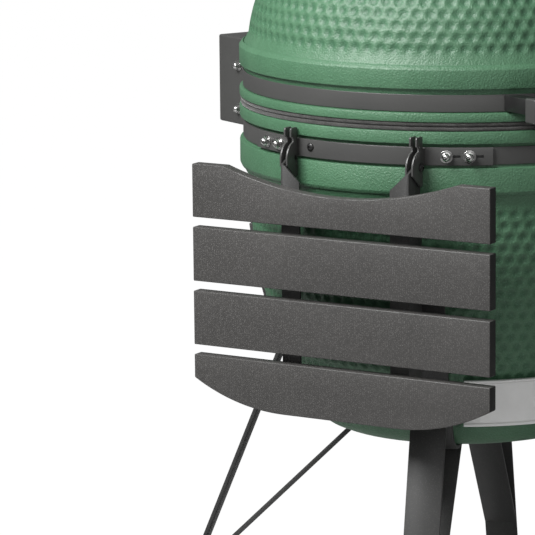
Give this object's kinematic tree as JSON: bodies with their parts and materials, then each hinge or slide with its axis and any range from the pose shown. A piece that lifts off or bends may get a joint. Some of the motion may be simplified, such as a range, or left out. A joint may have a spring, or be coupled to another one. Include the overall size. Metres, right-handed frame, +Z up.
{
  "type": "charcoal grill",
  "caption": "Egg-shaped ceramic charcoal grill with a hinged domed lid, draft door, top vent, steel stand with splayed legs and fold-down slatted side shelves.",
  "frame": {"origin": "on the ground, under the middle of the part's bounding box", "axes": "+Z up, -Y the grill's front with the handle and the draft door, +Y the hinge, +X the right-hand shelf as seen from the front"},
  "size_m": [0.7588, 0.7498, 1.1989],
  "materials": {
    "green_ceramic": "satin dark green glaze over a dimpled ceramic body",
    "grey_felt": "grey felt sealing strip",
    "black_steel": "black and dark grey powder coat",
    "slat_board": "dark grey-brown slats with a fine grained face",
    "brushed_steel": "brushed stainless steel",
    "cast_iron": "black cast iron",
    "fire_clay": "rough unglazed fire clay",
    "rubber": "matte black rubber"
  },
  "bodies": {
    "base": {"base_bowl": "green_ceramic", "base_gasket": "grey_felt", "base_band": "black_steel", "firebox": "fire_clay", "fire_ring": "fire_clay", "charcoal_grate": "cast_iron", "cooking_grate": "brushed_steel", "draft_frame": "brushed_steel", "cradle_ring": "black_steel", "front_left_rib": "black_steel", "front_left_leg": "black_steel", "front_left_foot": "rubber", "front_right_rib": "black_steel", "front_right_leg": "black_steel", "front_right_foot": "rubber", "rear_left_rib": "black_steel", "rear_left_leg": "black_steel", "rear_left_foot": "rubber", "rear_right_rib": "black_steel", "rear_right_leg": "black_steel", "rear_right_foot": "rubber", "hinge_base_bracket": "black_steel", "hinge_housing": "black_steel", "hinge_pin": "brushed_steel", "housing_bolt": "brushed_steel", "left_hinge_spring": "brushed_steel", "right_hinge_spring": "brushed_steel", "left_shelf_bracket": "black_steel", "right_shelf_bracket": "black_steel", "left_front_pivot_bolt": "black_steel", "left_rear_pivot_bolt": "black_steel", "right_front_pivot_bolt": "black_steel", "right_rear_pivot_bolt": "black_steel"},
    "door": {"draft_door": "brushed_steel"},
    "screen": {"draft_screen": "brushed_steel"},
    "lid": {"lid_dome": "green_ceramic", "lid_gasket": "grey_felt", "lid_band": "black_steel", "hinge_yoke": "black_steel", "left_handle_bracket": "black_steel", "right_handle_bracket": "black_steel", "handle_grip": "black_steel", "thermometer_case": "brushed_steel", "vent_base": "cast_iron"},
    "needle": {"thermometer_needle": "black_steel"},
    "vent": {"vent_slide": "cast_iron"},
    "daisy": {"daisy_disc": "cast_iron"},
    "left_shelf": {"left_shelf_front_arm": "black_steel", "left_shelf_rear_arm": "black_steel", "left_shelf_slat_1": "slat_board", "left_shelf_slat_2": "slat_board", "left_shelf_slat_3": "slat_board", "left_shelf_slat_4": "slat_board"},
    "right_shelf": {"right_shelf_front_arm": "black_steel", "right_shelf_rear_arm": "black_steel", "right_shelf_slat_1": "slat_board", "right_shelf_slat_2": "slat_board", "right_shelf_slat_3": "slat_board", "right_shelf_slat_4": "slat_board"}
  },
  "joints": [
    {"name": "lid_hinge", "type": "hinge", "parent": "base", "child": "lid", "pos_m": [0, 0.32337, 0.877], "axis": [-1, 0, 0], "range_deg": [0, 75]},
    {"name": "left_shelf_hinge", "type": "hinge", "parent": "base", "child": "left_shelf", "pos_m": [-0.25076, -0.15394, 0.817], "axis": [-0.4384, 0.8988, 0], "range_deg": [0, 90]},
    {"name": "right_shelf_hinge", "type": "hinge", "parent": "base", "child": "right_shelf", "pos_m": [0.25076, -0.15394, 0.817], "axis": [-0.4384, -0.8988, 0], "range_deg": [0, 90]},
    {"name": "draft_door_slide", "type": "hinge", "parent": "base", "child": "door", "pos_m": [0, -0.03163, 0.511], "axis": [0, 0, 1], "range_deg": [0, 20]},
    {"name": "draft_screen_slide", "type": "hinge", "parent": "base", "child": "screen", "pos_m": [0, -0.03163, 0.511], "axis": [0, 0, -1], "range_deg": [0, 20]},
    {"name": "vent_slide_pivot", "type": "hinge", "parent": "lid", "child": "vent", "pos_m": [0, 0.05837, 1.182], "axis": [0, 0, 1], "range_deg": [0, 90]},
    {"name": "daisy_turn", "type": "hinge", "parent": "vent", "child": "daisy", "pos_m": [0, -0.03163, 1.187], "axis": [0, 0, 1], "range_deg": [0, 36]},
    {"name": "thermometer_turn", "type": "hinge", "parent": "lid", "child": "needle", "pos_m": [0, -0.28144, 1.025], "axis": [0, 0.882, -0.4713], "range_deg": [0, 240]}
  ]
}
